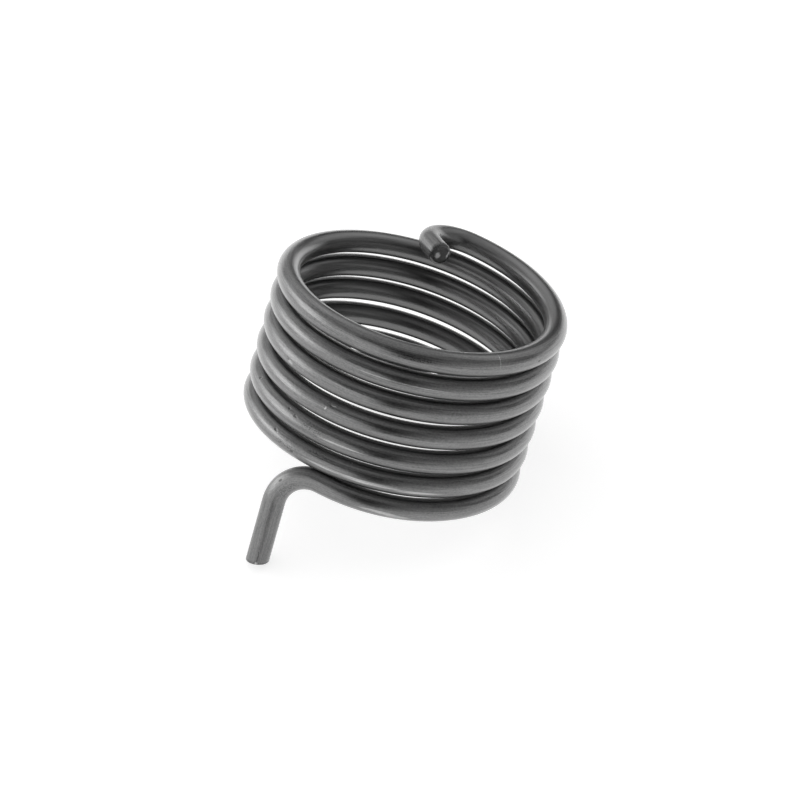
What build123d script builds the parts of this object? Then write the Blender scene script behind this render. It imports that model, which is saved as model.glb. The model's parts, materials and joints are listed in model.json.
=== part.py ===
from build123d import *
import math
import os

# Torsion spring, in millimetres. One length of round spring steel wire is coiled right-handed about an
# axis. Its lower end turns out of the coil into a leg that runs beside the axis, and its upper end hooks
# inwards over the bore as a short tang. A casing holds the leg and a shaft holds the tang, so turning the
# shaft winds the coil.
#
# The spring is laid out about an upright axis, with angles measured round it from +X, seen from above.
# Then it is leaned over, as it rests on a bench: on the end of its leg and the far side of its lowest
# turn. In the finished part +Z is up from the bench, and the origin is on the bench under the middle of
# the spring.

# Wire and coil
WIRE_DIAMETER = 3.0
COIL_OUTSIDE_DIAMETER = 38.0
TURN_GAP = 0.6            # clear space between neighbouring turns
EVEN_TURNS = 6.38         # turns at an even pitch
EVEN_START_ANGLE = -61.0  # where the even pitch begins, at the lower end

# Below the even turns the wire closes up towards the turn above, then bends down into the leg.
CLOSING_ANGLE = 47.0      # how far round the coil it closes up
CLOSING_TILT = 4.9        # tilt of that stretch out of the plane of the coil
LEG_BEND_RADIUS = 5.0     # to the middle of the wire
LEG_LENGTH = 8.65         # straight part
LEG_SPLAY = 6.0           # outwards, away from the axis
LEG_RAKE = 2.75           # forwards, along the coil
LEG_SHEAR_ANGLE = 9.0     # how far out of square the end is cut
LEG_SHEAR_SIDE = 180.0    # the side on which the cut leaves the leg longest

# Above the even turns the wire hooks inwards into the tang.
TANG_BEND_RADIUS = 4.5    # to the middle of the wire
TANG_LENGTH = 2.9         # straight part
TANG_OVERTURN = 42.3      # how far the hook turns past the line to the axis
TANG_RISE = 4.9           # slope of the tang, up from the plane of the coil

# The rims of the cut ends, rounded by tumbling
LEG_RIM_ROUND = 0.35
TANG_RIM_ROUND = 0.45

# The search for the pose in which it rests
MOST_TILT = 45.0
FINE_ANGLE = 0.001
RIM_FINENESS = 0.01       # spacing of the points taken over the end of the leg

wire_radius = WIRE_DIAMETER / 2
coil_radius = COIL_OUTSIDE_DIAMETER / 2 - wire_radius  # to the middle of the wire
pitch = WIRE_DIAMETER + TURN_GAP
UP = Vector(0, 0, 1)
ORIGIN = Vector(0, 0, 0)


def outwards(angle):
    """Away from the axis, at an angle round the coil."""
    return Vector(1, 0, 0).rotate(Axis.Z, angle)


def forwards(angle):
    """Round the coil, in the direction in which it climbs."""
    return Vector(0, 1, 0).rotate(Axis.Z, angle)


def angle_of(place):
    """The angle round the coil at which a place lies."""
    return math.degrees(math.atan2(place.Y, place.X))


def slope(angle):
    return math.tan(math.radians(angle))


def section(place, heading):
    """The wire cut across, with its middle at a place."""
    return Plane(place, z_dir=heading) * Circle(wire_radius)


def bend(place, heading, side, radius, turn):
    """A bend in the wire towards one side, and the place and heading of its far end."""
    hinge = Axis(place + side * radius, heading.cross(side))
    solid = revolve(section(place, heading), axis=hinge, revolution_arc=turn)
    far_place = (place - hinge.position).rotate(hinge, turn) + hinge.position
    return solid, far_place, heading.rotate(hinge, turn)


def bend_to(place, heading, new_heading, radius):
    """A bend that brings the wire round to a new heading."""
    side = (new_heading - heading * heading.dot(new_heading)).normalized()
    return bend(place, heading, side, radius, heading.get_angle(new_heading))


def cut_end(place, heading, length, cut_normal, rim_round):
    """A straight length of wire to a cut end with a rounded rim."""
    cut = Plane(place + heading * length, z_dir=cut_normal)
    stock = extrude(section(place, heading), amount=length + WIRE_DIAMETER)
    trimmed = split(stock, bisect_by=cut, keep=Keep.BOTTOM)
    end_face = trimmed.faces().sort_by(Axis(place, heading))[-1]
    return fillet(end_face.edges(), rim_round)


def make_coil():
    """The even turns, and the line that the middle of their wire follows."""
    line = Helix(pitch, pitch * EVEN_TURNS, coil_radius).rotate(Axis.Z, EVEN_START_ANGLE)
    return sweep(section(line @ 0, line % 0), path=line, is_frenet=True), line


def make_leg(place, heading):
    """The closing stretch, the bend and the leg."""
    inwards = outwards(angle_of(place)) * -1
    tilt = math.radians(CLOSING_TILT)
    side = inwards * math.cos(tilt) + inwards.cross(heading) * math.sin(tilt)
    closing, place, heading = bend(place, heading, side, coil_radius, CLOSING_ANGLE)
    angle = angle_of(place)
    down = (outwards(angle) * slope(LEG_SPLAY) + forwards(angle) * slope(LEG_RAKE) - UP).normalized()
    knee, place, heading = bend_to(place, heading, down, LEG_BEND_RADIUS)
    cut_normal = down - outwards(LEG_SHEAR_SIDE) * slope(LEG_SHEAR_ANGLE)
    return closing, knee, cut_end(place, heading, LEG_LENGTH, cut_normal, LEG_RIM_ROUND)


def make_tang(place, heading):
    """The hook and the tang."""
    angle = angle_of(place)
    across = forwards(angle) * -slope(TANG_OVERTURN) - outwards(angle) + UP * slope(TANG_RISE)
    hook, place, heading = bend_to(place, heading, across.normalized(), TANG_BEND_RADIUS)
    return hook, cut_end(place, heading, TANG_LENGTH, heading, TANG_RIM_ROUND)


def bench_up(tilt, towards):
    """The bench's up, as the upright spring sees it when it leans by a tilt."""
    return UP * math.cos(math.radians(tilt)) + outwards(towards) * math.sin(math.radians(tilt))


def lowest(points, up):
    return min(point.dot(up) for point in points)


def tilt_to_rest(shank_points, turn_points, towards):
    """The tilt at which the end of the leg and the lowest turn touch the bench together."""
    low = 0.0
    high = MOST_TILT
    while high - low > FINE_ANGLE:
        tilt = (low + high) / 2
        up = bench_up(tilt, towards)
        if lowest(shank_points, up) < lowest(turn_points, up) - wire_radius:
            low = tilt
        else:
            high = tilt
    return tilt


def find_rest(shank, line, middle):
    """The tilt and direction of the lean in which the middle of the mass comes lowest."""
    shank_points, _ = shank.tessellate(RIM_FINENESS)
    turn_points = [line @ (step / 360 / EVEN_TURNS) for step in range(360)]

    def height(towards):
        up = bench_up(tilt_to_rest(shank_points, turn_points, towards), towards)
        return middle.dot(up) - lowest(turn_points, up)

    low = angle_of(line @ 0) - CLOSING_ANGLE - MOST_TILT
    high = low + 2 * MOST_TILT
    while high - low > FINE_ANGLE:
        third = (high - low) / 3
        if height(low + third) < height(high - third):
            high -= third
        else:
            low += third
    return tilt_to_rest(shank_points, turn_points, low), low


coil, line = make_coil()
closing, knee, shank = make_leg(line @ 0, (line % 0) * -1)
hook, tip = make_tang(line @ 1, line % 1)
spring = coil + closing + knee + shank + hook + tip

tilt, towards = find_rest(shank, line, spring.center(CenterOf.MASS))
leaned = spring.rotate(Axis(ORIGIN, bench_up(tilt, towards).cross(UP)), tilt)
box = leaned.bounding_box()
resting = leaned.translate(Vector(box.center().X, box.center().Y, box.min.Z) * -1)

os.makedirs("parts", exist_ok=True)
export_step(resting, "parts/torsion_spring.step")
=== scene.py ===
import json
import math
import bpy
from mathutils import Matrix, Vector


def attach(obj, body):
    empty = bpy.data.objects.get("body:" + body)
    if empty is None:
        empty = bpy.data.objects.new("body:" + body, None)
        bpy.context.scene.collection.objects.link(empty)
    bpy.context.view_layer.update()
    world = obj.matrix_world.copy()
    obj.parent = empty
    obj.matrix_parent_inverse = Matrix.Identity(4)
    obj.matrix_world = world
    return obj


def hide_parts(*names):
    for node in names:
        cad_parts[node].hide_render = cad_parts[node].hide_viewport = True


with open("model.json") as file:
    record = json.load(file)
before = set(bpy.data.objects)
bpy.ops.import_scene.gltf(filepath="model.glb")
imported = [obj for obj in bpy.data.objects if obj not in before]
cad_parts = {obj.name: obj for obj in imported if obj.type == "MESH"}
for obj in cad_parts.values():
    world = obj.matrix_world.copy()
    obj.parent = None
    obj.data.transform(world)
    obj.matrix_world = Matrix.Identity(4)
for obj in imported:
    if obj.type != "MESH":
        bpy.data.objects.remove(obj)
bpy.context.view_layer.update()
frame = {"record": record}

# ---------------------------------------------------------------------------------------------------
# The spring
# One length of 3 mm hard-drawn steel wire, wound right-handed round a mandrel. Its lower end closes up
# to the turn above and is bent down into the leg, and its upper end is hooked in over the bore. Nothing
# fastens it here: it lies loose on the end of its leg and its lowest turn.

# The line of the wire is laid out upright, in millimetres, and then leaned over as the coil's own axis
# leans in the frame.
MM = 0.001
mounts = {mount["name"]: mount for mount in frame["record"]["mounts"]}
WIRE_RADIUS = mounts["leg"]["dims"]["r_mm"]
COIL_RADIUS = 17.5          # to the middle of the wire
PITCH = 3.6
EVEN_TURNS = 6.38
EVEN_START_ANGLE = -61.0
CLOSING_ANGLE = 47.0
CLOSING_TILT = 4.9
LEG_BEND_RADIUS = 5.0
LEG_LENGTH = 8.65
LEG_SPLAY = 6.0
LEG_RAKE = 2.75
LEG_SHEAR_ANGLE = 9.0       # how far out of square the leg's end is sheared
LEG_SHEAR_SIDE = 180.0      # the side on which the shear leaves it longest
LEG_RIM_ROUND = 0.35
TANG_BEND_RADIUS = 4.5
TANG_LENGTH = 2.9
TANG_OVERTURN = 42.3
TANG_RISE = 4.9
TANG_RIM_ROUND = 0.45

# The turns don't lie quite evenly: how far the wire has strayed up the coil at each half turn.
STRAYED = [0.0, -0.02, 0.0, -0.15, 0.09, -0.12, 0.22, -0.05, 0.09, -0.18, 0.01, -0.29, 0.0]
STRAYED_FROM = 151.0        # degrees of coil from the start to the first of them

# Coiling has left the wire a little oval on the leg's side, deeper along the coil, except at the two ends.
OVAL = 0.04                 # how far it stands out on each side at the most
OVAL_MOST = 331.0           # degrees of coil from the start to where it is most
OVAL_COMES = (250.0, 400.0)
OVAL_GOES = (2140.0, 2280.0)

COIL_STEP = 0.55            # spacing of the wire's rings along it
BEND_STEP = 0.2
RIM_RINGS = 6               # over each rounded rim, and as many in to the middle of the cut
FACE_STEP = 0.0005          # keeps the rings of a flat cut apart
SHEAR_BLEND = 3.0           # how far from the tip the rings still lean with the shear
WIRE_SIDES = 64
POLE_REACH = 1e-7           # metres within which the points at the middle of a cut become one

UP = Vector((0, 0, 1))
COIL_MIDDLE = Vector((0, 0, 0))
ONWARDS = 1                 # from the leg to the tang
BACKWARDS = -1


def outwards(angle):
    return Vector((math.cos(math.radians(angle)), math.sin(math.radians(angle)), 0))


def forwards(angle):
    return UP.cross(outwards(angle))


def slope(angle):
    return math.tan(math.radians(angle))


def angle_round_coil(section):
    place = section.translation
    return math.degrees(math.atan2(place.y, place.x))


def direction_of(section, index):
    """0 and 1 lie across the wire and 2 along it, towards the tang."""
    return section.col[index].to_3d()


def stretch(start, hinge, axis, turn, slide, step_count):
    """Sections of the wire as it turns round a hinge and slides along it."""
    sections = []
    for index in range(1, step_count + 1):
        share = index / step_count
        swing = Matrix.Rotation(turn * share, 4, axis)
        slid = Matrix.Translation(hinge + axis * slide * share)
        sections.append(slid @ swing @ Matrix.Translation(-hinge) @ start)
    return sections


def bend(start, side, radius, turn, way):
    heading = direction_of(start, 2) * way
    hinge = start.translation + side * radius
    step_count = math.ceil(radius * turn / BEND_STEP)
    return stretch(start, hinge, heading.cross(side), turn, 0, step_count)


def bend_to(start, new_heading, radius, way):
    heading = direction_of(start, 2) * way
    side = (new_heading - heading * heading.dot(new_heading)).normalized()
    return bend(start, side, radius, heading.angle(new_heading), way)


def straight(start, length, way):
    heading = direction_of(start, 2) * way
    return stretch(start, start.translation, heading, 0, length, math.ceil(length / BEND_STEP))


def rounded_end(start, rim_round, way):
    """The sections over a rounded rim and in to the middle of the cut, and how thick the wire is at each."""
    sections = []
    radii = []
    heading = direction_of(start, 2) * way
    for index in range(1, RIM_RINGS + 1):
        quarter = math.pi / 2 * index / RIM_RINGS
        sections.append(Matrix.Translation(heading * rim_round * math.sin(quarter)) @ start)
        radii.append(WIRE_RADIUS - rim_round * (1 - math.cos(quarter)))
    for index in range(1, RIM_RINGS + 1):
        sections.append(Matrix.Translation(heading * FACE_STEP * index) @ sections[RIM_RINGS - 1])
        radii.append(radii[RIM_RINGS - 1] * (1 - index / RIM_RINGS))
    return sections, radii


def strayed(turned):
    """How far the wire has strayed up the coil, so many degrees from the start of the even turns."""
    half_turns = max(0.0, (turned - STRAYED_FROM) / 180)
    before = min(int(half_turns), len(STRAYED) - 2)
    ease = (1 - math.cos(math.pi * (half_turns - before))) / 2
    return STRAYED[before] + (STRAYED[before + 1] - STRAYED[before]) * ease


def eased(value, start, end):
    share = min(1.0, max(0.0, (value - start) / (end - start)))
    return share * share * (3 - 2 * share)


def oval(turned):
    """How far the wire stands out along the coil, so many degrees from the start of the even turns."""
    on_leg_side = (1 + math.cos(math.radians(turned - OVAL_MOST))) / 2
    return OVAL * on_leg_side * eased(turned, *OVAL_COMES) * (1 - eased(turned, *OVAL_GOES))


# the even turns
across = outwards(EVEN_START_ANGLE)
climb = forwards(EVEN_START_ANGLE) * math.tau * COIL_RADIUS + UP * PITCH
heading = climb.normalized()
coil_start = Matrix((across, heading.cross(across), heading)).transposed().to_4x4()
coil_start.translation = across * COIL_RADIUS
coil_length = EVEN_TURNS * math.hypot(math.tau * COIL_RADIUS, PITCH)
even_coil = [coil_start]
even_coil += stretch(coil_start, COIL_MIDDLE, UP, math.tau * EVEN_TURNS, PITCH * EVEN_TURNS,
                     round(coil_length / COIL_STEP))
coil = []
ovals = []
for index, section in enumerate(even_coil):
    turned = 360 * EVEN_TURNS * index / (len(even_coil) - 1)
    coil.append(Matrix.Translation(UP * strayed(turned)) @ section)
    ovals.append(oval(turned))

# the closing stretch, the knee and the leg
inwards = -outwards(EVEN_START_ANGLE)
tilt = math.radians(CLOSING_TILT)
closing_side = inwards * math.cos(tilt) - inwards.cross(heading) * math.sin(tilt)
closing = bend(coil_start, closing_side, COIL_RADIUS, math.radians(CLOSING_ANGLE), BACKWARDS)
knee_angle = angle_round_coil(closing[-1])
down = (outwards(knee_angle) * slope(LEG_SPLAY) + forwards(knee_angle) * slope(LEG_RAKE) - UP).normalized()
knee = bend_to(closing[-1], down, LEG_BEND_RADIUS, BACKWARDS)
leg = straight(knee[-1], LEG_LENGTH - LEG_RIM_ROUND, BACKWARDS)
leg_end, leg_end_radii = rounded_end(leg[-1], LEG_RIM_ROUND, BACKWARDS)

# the hook and the tang
hook_angle = angle_round_coil(coil[-1])
over_bore = -outwards(hook_angle) - forwards(hook_angle) * slope(TANG_OVERTURN) + UP * slope(TANG_RISE)
hook = bend_to(coil[-1], over_bore.normalized(), TANG_BEND_RADIUS, ONWARDS)
tang = straight(hook[-1], TANG_LENGTH - TANG_RIM_ROUND, ONWARDS)
tang_end, tang_end_radii = rounded_end(tang[-1], TANG_RIM_ROUND, ONWARDS)

# the whole wire, from the leg's tip to the tang's
leg_side = closing + knee + leg
sections = leg_end[::-1] + leg_side[::-1] + coil + hook + tang + tang_end
full_thickness = len(leg_side) + len(coil) + len(hook) + len(tang)
radii = leg_end_radii[::-1] + [WIRE_RADIUS] * full_thickness + tang_end_radii
ovals = [0.0] * len(leg_end + leg_side) + ovals + [0.0] * len(hook + tang + tang_end)
reached = [0.0]             # how much wire lies between the leg's tip and each section
for before, after in zip(sections, sections[1:]):
    reached.append(reached[-1] + (after.translation - before.translation).length)
WIRE_LENGTH = reached[-1]

# leaned over, and set where the coil's middle is
lean = UP.rotation_difference(Vector(mounts["coil_bore"]["axis"])).to_matrix().to_4x4()
middle_in_frame = Matrix.Translation(Vector(mounts["coil_bore"]["pos_m"]))
to_frame = middle_in_frame @ lean @ Matrix.Scale(MM, 4) @ Matrix.Translation(-UP * PITCH * EVEN_TURNS / 2)
turning = lean.to_3x3()
shear = turning @ outwards(LEG_SHEAR_SIDE)


def cut_slope(section, length):
    """How far a point of the ring slides along the wire for each step across it."""
    blend = max(0.0, 1 - length / SHEAR_BLEND)
    lean_over = slope(LEG_SHEAR_ANGLE) * blend
    return Vector([(turning @ direction_of(section, axis)).dot(shear) * lean_over for axis in (0, 1)] + [0])


line = bpy.data.meshes.new("wire_line")
places = [to_frame @ section.translation for section in sections]
line.from_pydata(places, [(index, index + 1) for index in range(len(places) - 1)], [])


def keep_lengths(name, lengths):
    line.attributes.new(name, "FLOAT", "POINT").data.foreach_set("value", [length * MM for length in lengths])


def keep_vectors(name, vectors):
    flat = [part for vector in vectors for part in vector]
    line.attributes.new(name, "FLOAT_VECTOR", "POINT").data.foreach_set("vector", flat)


keep_vectors("across", [turning @ direction_of(section, 0) for section in sections])
keep_lengths("thickness", radii)
keep_lengths("along", reached)
keep_vectors("swell", [turning @ direction_of(section, 1) * (swell / WIRE_RADIUS)
                       for section, swell in zip(sections, ovals)])
keep_vectors("cut_slope", [cut_slope(section, length) for section, length in zip(sections, reached)])


def give(socket, value):
    """Feeds a socket from another one, or sets its value."""
    if isinstance(value, bpy.types.NodeSocket):
        socket.id_data.links.new(value, socket)
    else:
        socket.default_value = value


def add(group, kind, fed=None, **settings):
    """A new node of a group, with its settings and what its inputs are fed."""
    made = group.nodes.new(kind)
    for name, value in settings.items():
        setattr(made, name, value)
    for name, value in (fed or {}).items():
        give(made.inputs[name], value)
    return made


def vector_maths(operation, *values):
    group = next(value.id_data for value in values if isinstance(value, bpy.types.NodeSocket))
    made = add(group, "ShaderNodeVectorMath", dict(enumerate(values)), operation=operation)
    return made.outputs["Value" if operation in ("DOT_PRODUCT", "LENGTH") else "Vector"]


def scaled(vector, factor):
    made = add(vector.id_data, "ShaderNodeVectorMath", {0: vector, "Scale": factor}, operation="SCALE")
    return made.outputs["Vector"]


# The wire is wound on its line: a round section is swept along it, slid where the end is sheared, and
# swelled where the wire is oval. Each point also keeps its place on the wire as if it were straight.
winder = bpy.data.node_groups.new("wire_on_its_line", "GeometryNodeTree")
wanted = {"Line": "NodeSocketGeometry", "Sides": "NodeSocketInt", "Steel": "NodeSocketMaterial"}
for name, kind in wanted.items():
    winder.interface.new_socket(name, in_out="INPUT", socket_type=kind)
winder.interface.new_socket("Wire", in_out="OUTPUT", socket_type="NodeSocketGeometry")


def read(name, kind="FLOAT"):
    return add(winder, "GeometryNodeInputNamedAttribute", {"Name": name}, data_type=kind).outputs["Attribute"]


def store(geometry, name, vector):
    kept = {"Geometry": geometry, "Name": name, "Value": vector}
    made = add(winder, "GeometryNodeStoreNamedAttribute", kept, data_type="FLOAT_VECTOR", domain="POINT")
    return made.outputs["Geometry"]


entry = add(winder, "NodeGroupInput").outputs
curve = add(winder, "GeometryNodeMeshToCurve", {"Mesh": entry["Line"]}).outputs["Curve"]
turned_to = {"Curve": curve, "Normal": read("across", "FLOAT_VECTOR")}
framed = add(winder, "GeometryNodeSetCurveNormal", turned_to, mode="FREE").outputs["Curve"]
headed = store(framed, "heading", add(winder, "GeometryNodeInputTangent").outputs["Tangent"])
circle_sizes = {"Resolution": entry["Sides"], "Radius": 1}
circle = add(winder, "GeometryNodeCurvePrimitiveCircle", circle_sizes, mode="RADIUS").outputs["Curve"]
rounded = store(circle, "around", add(winder, "GeometryNodeInputPosition").outputs["Position"])
sweep = {"Curve": headed, "Profile Curve": rounded, "Scale": read("thickness")}
swept = add(winder, "GeometryNodeCurveToMesh", sweep).outputs["Mesh"]

from_middle = scaled(read("around", "FLOAT_VECTOR"), read("thickness"))
along_it = add(winder, "ShaderNodeCombineXYZ", {"Z": read("along")}).outputs["Vector"]
with_straight = store(swept, "straight", vector_maths("ADD", from_middle, along_it))

slid_by = vector_maths("DOT_PRODUCT", from_middle, read("cut_slope", "FLOAT_VECTOR"))
slide = scaled(read("heading", "FLOAT_VECTOR"), slid_by)
deep = add(winder, "ShaderNodeSeparateXYZ", {"Vector": from_middle}).outputs["Y"]
swelling = scaled(read("swell", "FLOAT_VECTOR"), deep)
moves = {"Geometry": with_straight, "Offset": vector_maths("SUBTRACT", swelling, slide)}
moved = add(winder, "GeometryNodeSetPosition", moves).outputs["Geometry"]

poles = {"Geometry": moved, "Distance": POLE_REACH}
closed = add(winder, "GeometryNodeMergeByDistance", poles).outputs["Geometry"]
smooth = add(winder, "GeometryNodeSetShadeSmooth", {"Geometry": closed}).outputs["Geometry"]
real = add(winder, "GeometryNodeRealizeInstances", {"Geometry": smooth}).outputs["Geometry"]
coated = {"Geometry": real, "Material": entry["Steel"]}
wire = add(winder, "GeometryNodeSetMaterial", coated).outputs["Geometry"]
add(winder, "NodeGroupOutput", {"Wire": wire})

# The steel is drawn bright and then darkened by its stress relief: thin scale, with fine die lines along
# the wire, cloudy patches, and the pits, nicks and rubs that a bin of springs gives it; shade is painted
# where the turns face each other. Everything is placed on the straight wire, in millimetres.
steel = bpy.data.materials.new("spring_steel")
steel.use_nodes = True
skin = steel.node_tree
shader = skin.nodes["Principled BSDF"].inputs


def maths(operation, *values):
    group = next(value.id_data for value in values if isinstance(value, bpy.types.NodeSocket))
    return add(group, "ShaderNodeMath", dict(enumerate(values)), operation=operation).outputs["Value"]


def layered(base, *layers):
    """A base level with layers added, each of them a value and how strongly it counts."""
    total = base
    for value, strength in layers:
        total = maths("ADD", total, maths("MULTIPLY", value, strength))
    return total


def span(value, start, end, first=0.0, last=1.0):
    """Eases from one level to another as a value goes from start to end."""
    levels = {"Value": value, "From Min": start, "From Max": end, "To Min": first, "To Max": last}
    return add(value.id_data, "ShaderNodeMapRange", levels, interpolation_type="SMOOTHSTEP").outputs["Result"]


def grain(place, across, along, detail):
    """Noise round zero, with grains of so many millimetres across and along the wire."""
    stretched = vector_maths("MULTIPLY", place, (1 / across, 1 / across, 1 / along))
    noise = add(skin, "ShaderNodeTexNoise", {"Vector": stretched, "Scale": 1.0, "Detail": detail})
    return maths("SUBTRACT", noise.outputs["Fac"], 0.5)


SPOT_EDGE = (0.5, 1.2)      # the shares of a spot's half size over which it fades out


def near(place, middle, size):
    """How far a place is from the middle of a spot, as a share of the spot's half size."""
    return vector_maths("LENGTH", vector_maths("DIVIDE", vector_maths("SUBTRACT", place, middle), size))


def inside(nearness):
    """1 inside a spot and 0 outside it, with a soft edge."""
    return span(nearness, *SPOT_EDGE, 1.0, 0.0)


def marks(place, spots):
    """1 inside any of the marks and 0 outside. Each mark: how far along the wire and how far round it from
    the outer side, in mm and degrees, and its length and width."""
    nearest = 10.0
    for along_wire, round_wire, length, width in spots:
        angle = math.radians(round_wire)
        middle = Vector((WIRE_RADIUS * math.cos(angle), WIRE_RADIUS * math.sin(angle), along_wire))
        size = Vector((width / 2, width / 2, length / 2))
        nearest = maths("MINIMUM", nearest, near(place, middle, size))
    return inside(nearest)


on_wire = scaled(add(skin, "ShaderNodeAttribute", attribute_name="straight").outputs["Vector"], 1 / MM)
out_of_coil, down_coil, along_wire = add(skin, "ShaderNodeSeparateXYZ", {"Vector": on_wire}).outputs

# the same place shaken about, for marks with ragged edges
SHAKE = Vector((0.35, 0.35, 0.5))
wander = add(skin, "ShaderNodeTexNoise", {"Vector": on_wire, "Scale": 2.2, "Detail": 2.0})
shaken = vector_maths("MULTIPLY_ADD", wander.outputs["Color"], SHAKE, on_wire)
on_wire_roughly = vector_maths("SUBTRACT", shaken, SHAKE / 2)

die_lines = grain(on_wire, across=0.34, along=14.0, detail=1.0)
fine_lines = grain(on_wire, across=0.11, along=3.5, detail=2.0)
broad_lines = grain(on_wire, across=0.8, along=30.0, detail=1.0)
clouds = grain(on_wire, across=1.6, along=3.2, detail=3.0)
pebbles = grain(on_wire, across=0.28, along=0.4, detail=2.0)
mottle = grain(on_wire_roughly, across=0.16, along=0.3, detail=3.0)

# painted shade where one turn faces the next: the colour is darkened close under the turn above, and in a
# line just over the turn below
TURN_BELOW_FROM = (118.0, 135.0)    # where along the wire there begins to be a turn below it
TURN_ABOVE_TO = (622.0, 640.0)      # and where there stops being one above it
facing_down = maths("DIVIDE", down_coil, WIRE_RADIUS)
shade_under_turn = span(facing_down, -0.98, -0.72, 0.25, 0.0)
shade_over_turn = maths("MULTIPLY", span(facing_down, 0.2, 0.5, 0.0, 0.45), span(facing_down, 0.5, 0.8, 1.0, 0.2))
turn_above = span(along_wire, *TURN_ABOVE_TO, 1.0, 0.0)
turn_below = span(along_wire, *TURN_BELOW_FROM)
painted_shade = maths("ADD", maths("MULTIPLY", shade_under_turn, turn_above), maths("MULTIPLY", shade_over_turn, turn_below))

# single marks: pits, bright nicks, rubs from other springs, and patches where the scale flaked in specks
PITS = [(222.6, -45, 0.6, 0.5), (230.3, -45, 0.42, 0.4), (231.5, -38, 0.3, 0.26), (231.7, -30, 0.6, 0.3),
        (119.2, -35, 0.5, 0.5), (130.0, -68, 0.3, 0.3), (122.6, 10, 0.8, 0.4), (345.9, -40, 0.7, 0.3),
        (12.1, -32, 0.5, 0.26), (448.2, 4, 0.4, 0.3), (700.6, -6, 0.5, 0.4), (704.5, 28, 0.4, 0.4),
        (1.2, 13, 2.2, 0.16)]
NICKS = [(345.3, -18, 0.3, 0.4), (346.3, -42, 0.6, 0.16), (130.2, -64, 0.2, 0.2), (119.7, -30, 0.22, 0.16),
         (0.3, 12, 0.5, 0.36)]
RUBS = [(128.6, 5, 9.0, 0.34), (133.0, 9, 8.0, 0.5), (138.6, 14, 7.0, 0.4), (238.0, -3, 7.0, 0.24),
        (24.8, 16, 5.0, 0.5), (27.0, 24, 4.0, 0.4), (448.7, 12, 1.0, 0.5), (573.0, -7, 12.0, 0.16),
        (694.3, -46, 0.1, 2.2)]
FLAKES = [(233.8, -26, 2.6, 1.5), (235.4, -8, 2.4, 1.2), (121.6, -10, 4.0, 1.8), (346.0, -44, 1.8, 0.9),
          (126.0, -40, 3.6, 1.2), (684.0, -14, 6.0, 0.9), (12.0, 30, 5.0, 2.4)]
pitted = marks(on_wire_roughly, PITS)
nicked = marks(on_wire_roughly, NICKS)
rubbed = marks(on_wire, RUBS)
rubbed_bright = maths("MULTIPLY", rubbed, span(fine_lines, -0.16, 0.1, 0.35, 1.0))
specks = span(grain(on_wire, across=0.16, along=0.24, detail=1.0), -0.01, 0.09)
flaked = maths("MULTIPLY", marks(on_wire_roughly, FLAKES), specks)

# the cut ends: a dark torn rim, and on the tang's face two painted highlights, brighter patches where the
# cropping blade slid
TORN_RIM = (0.85, 1.1)          # mm from the middle of the cut to where it is torn
leg_tip = span(along_wire, 0.25, 0.55, 1.0, 0.0)
tang_tip = span(along_wire, WIRE_LENGTH - 0.7, WIRE_LENGTH - 0.45)
off_middle = vector_maths("LENGTH", vector_maths("MULTIPLY", on_wire_roughly, (1.0, 1.0, 0.0)))
torn = maths("MULTIPLY", maths("MAXIMUM", tang_tip, leg_tip), span(off_middle, *TORN_RIM))
# two painted highlights on the tang's cut face: a patch near the middle and a strip near the rim
cut_face_highlight_patch = inside(near(on_wire_roughly, (0.38, 0.26, WIRE_LENGTH), (0.42, 0.5, 1.0)))
cut_face_highlight_strip = inside(near(on_wire_roughly, (-0.95, -0.3, WIRE_LENGTH), (0.14, 0.55, 1.0)))
cut_face_highlights = maths("MULTIPLY", tang_tip, maths("MAXIMUM", cut_face_highlight_patch, cut_face_highlight_strip))

# the inner side of the coil ran on the mandrel, which has burnished its grain down, and the bending tools
# have dulled the hook and the leg
HOOK_BEGINS = (729.0, 738.0)
LEG_ENDS = (9.0, 16.0)
burnished = span(out_of_coil, -0.6, 0.6, 0.35, 1.0)
hook_dulled = span(along_wire, *HOOK_BEGINS, 0.0, 0.24)
leg_dulled = span(along_wire, *LEG_ENDS, 0.1, 0.0)

SCALE_DARK = 0.135              # how much of the light the scale sends back
# how dark the painted shade between the turns makes the colour
PAINTED_SHADE_DARK = 0.45
PIT_DARK = 0.35
streaks = layered(0.0, (die_lines, 0.7), (fine_lines, 1.3), (clouds, 0.45), (mottle, 1.1))
# the tone of the steel, with the painted highlights on the tang's cut face added in
tone = layered(1.0, (streaks, burnished), (rubbed_bright, 2.2), (nicked, 2.2), (flaked, -0.4), (torn, -0.5),
               (cut_face_highlights, 5.0))
# the colour darkened by the painted shade where the turns face each other
in_painted_shade = maths("MULTIPLY", tone, span(painted_shade, 0.0, 1.0, 1.0, PAINTED_SHADE_DARK))
in_pits = maths("MULTIPLY", in_painted_shade, span(pitted, 0.0, 1.0, 1.0, PIT_DARK))
give(shader["Base Color"], maths("MULTIPLY", in_pits, SCALE_DARK))
give(shader["Metallic"], 1.0)
give(shader["Roughness"], layered(0.33, (hook_dulled, 1.0), (leg_dulled, 1.0), (clouds, 0.12),
                                  (fine_lines, 0.1), (pitted, 0.2), (rubbed, -0.06)))
give(shader["Anisotropic"], 0.65)
give(shader["Anisotropic Rotation"], 0.25)
give(shader["Tangent"], add(skin, "ShaderNodeAttribute", attribute_name="heading").outputs["Vector"])
# the film of oil that keeps it from rusting
give(shader["Coat Weight"], 1.0)
give(shader["Coat Roughness"], 0.22)
give(shader["Coat IOR"], 1.7)

lines = layered(0.0, (die_lines, 0.022), (fine_lines, 0.012), (broad_lines, 0.008), (pebbles, 0.012))
height = layered(maths("MULTIPLY", lines, burnished), (pitted, -0.05))
relief = add(skin, "ShaderNodeBump", {"Strength": 1.0, "Distance": MM, "Height": height}).outputs["Normal"]
give(shader["Normal"], relief)
give(shader["Coat Normal"], relief)


def placed(name, data):
    made = bpy.data.objects.new(name, data)
    bpy.context.scene.collection.objects.link(made)
    return made


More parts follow.
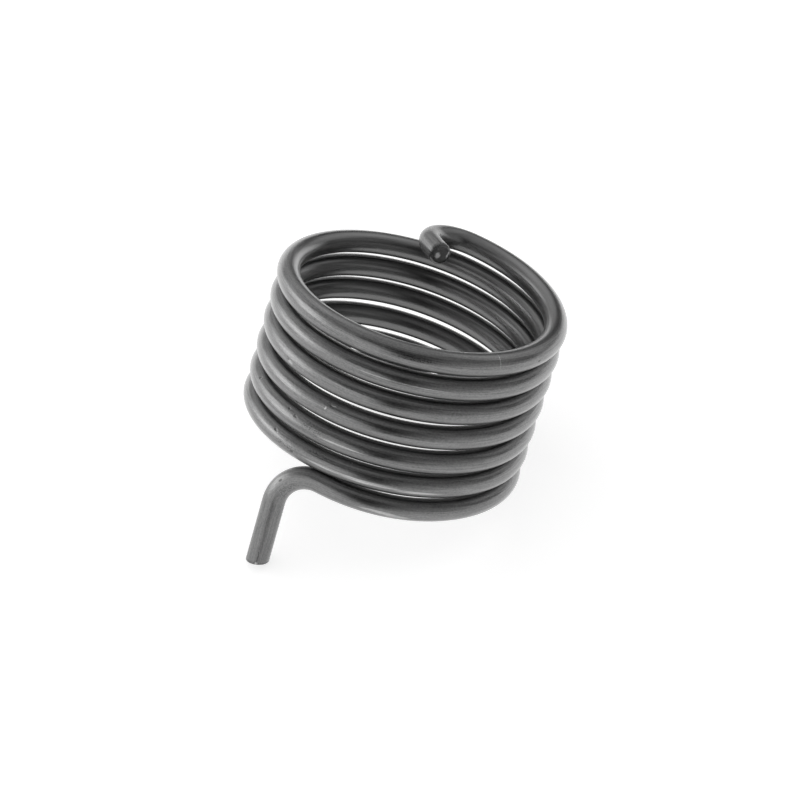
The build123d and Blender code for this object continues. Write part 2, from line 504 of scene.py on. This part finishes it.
carrier = placed("wire_line", line)
winding = carrier.modifiers.new("winding", "NODES")
winding.node_group = winder
sockets = {item.name: item.identifier for item in winder.interface.items_tree if item.in_out == "INPUT"}
winding[sockets["Sides"]] = WIRE_SIDES
winding[sockets["Steel"]] = steel
bpy.context.view_layer.update()
wire_mesh = bpy.data.meshes.new_from_object(carrier.evaluated_get(bpy.context.evaluated_depsgraph_get()))
bpy.data.objects.remove(carrier)
spring = placed("torsion_spring_wire", wire_mesh)

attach(spring, "root")
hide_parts("torsion_spring")

# ---------------------------------------------------------------------------------------------------
# The bench
# A wide flat bench top of matt white board, on which the spring lies. Its lift brings the lit white up
# to the white of a plain background, without more light on the spring, and leaves the spring's shadow.
BENCH_REACH = 3.0
BENCH_WHITE = 0.8
BENCH_LIFT = 0.66

bench_white = bpy.data.materials.new("bench_white")
bench_white.use_nodes = True
paint = bench_white.node_tree
paint.nodes.clear()
matt = add(paint, "ShaderNodeBsdfDiffuse", {"Color": (BENCH_WHITE, BENCH_WHITE, BENCH_WHITE, 1)})
ray = add(paint, "ShaderNodeLightPath").outputs
seen_or_mirrored = maths("MAXIMUM", ray["Is Camera Ray"], ray["Is Glossy Ray"])
seen = maths("MAXIMUM", seen_or_mirrored, ray["Is Transmission Ray"])
lift = add(paint, "ShaderNodeEmission", {"Strength": maths("MULTIPLY", seen, BENCH_LIFT)})
both = add(paint, "ShaderNodeAddShader", {0: matt.outputs["BSDF"], 1: lift.outputs["Emission"]})
add(paint, "ShaderNodeOutputMaterial", {"Surface": both.outputs["Shader"]})

bench_mesh = bpy.data.meshes.new("bench")
corners = [(-BENCH_REACH, -BENCH_REACH, 0), (BENCH_REACH, -BENCH_REACH, 0),
           (BENCH_REACH, BENCH_REACH, 0), (-BENCH_REACH, BENCH_REACH, 0)]
bench_mesh.from_pydata(corners, [], [(0, 1, 2, 3)])
bench_mesh.materials.append(bench_white)
bench = placed("bench", bench_mesh)

# ---------------------------------------------------------------------------------------------------
# The light
# A dark room with seven soft lights that fade to their edges: three on the left, of which the lowest is
# much the brightest, one low on the right, and three dimmer ones behind the spring and overhead.
ROOM_GREY = 0.02
# each light: its direction, from +Y towards +X, its height, its half width, and how bright it is
SOFT_LIGHTS = [(-85, -8, 48, 2.6), (-147, 13, 35, 1.35), (-103, 23, 36, 0.8), (-30, 30, 38, 0.68),
               (4, 74, 56, 0.56), (39, 28, 33, 0.72), (118, -2, 62, 0.57)]
EVEN_PART = 0.15                # of each light's width is evenly bright


def pointing(heading, elevation):
    """A direction, from its angle from +Y towards +X and its angle up from level."""
    heading = math.radians(heading)
    elevation = math.radians(elevation)
    level = math.cos(elevation)
    return Vector((math.sin(heading) * level, math.cos(heading) * level, math.sin(elevation)))


room = bpy.data.worlds.new("room")
bpy.context.scene.world = room
room.use_nodes = True
air = room.node_tree
direction = add(air, "ShaderNodeTexCoord").outputs["Generated"]
brightness = ROOM_GREY
for light_heading, light_height, half_width, light_brightness in SOFT_LIGHTS:
    towards_light = vector_maths("DOT_PRODUCT", direction, pointing(light_heading, light_height))
    edge = math.cos(math.radians(half_width))
    even_edge = math.cos(math.radians(half_width * EVEN_PART))
    brightness = maths("ADD", span(towards_light, edge, even_edge, 0.0, light_brightness), brightness)
background = air.nodes["Background"].inputs
give(background["Strength"], brightness)
give(background["Color"], (1, 1, 1, 1))

# ---------------------------------------------------------------------------------------------------
# The camera
# A long lens looks down on the spring from the leg's side, with the camera held a little off level.
VIEW_HEADING = -8.21            # of the line of sight, from +Y towards +X
VIEW_ELEVATION = 43.23
VIEW_ROLL = 2.86
VIEW_DISTANCE = 382.8
AIM = Vector((0.18, -1.47, 13.43))
LENS = 132.7
NEAREST_SEEN = 0.01             # metres

sight = pointing(VIEW_HEADING, -VIEW_ELEVATION)
right = Matrix.Rotation(-math.radians(VIEW_ROLL), 3, sight) @ sight.cross(UP).normalized()
axes = Matrix((right, right.cross(sight), -sight)).transposed().to_4x4()
camera_data = bpy.data.cameras.new("camera")
camera_data.lens = LENS
camera_data.clip_start = NEAREST_SEEN
camera = placed("camera", camera_data)
camera.matrix_world = Matrix.Translation((AIM - sight * VIEW_DISTANCE) * MM) @ axes
bpy.context.scene.camera = camera
bpy.context.scene.view_settings.view_transform = "Standard"
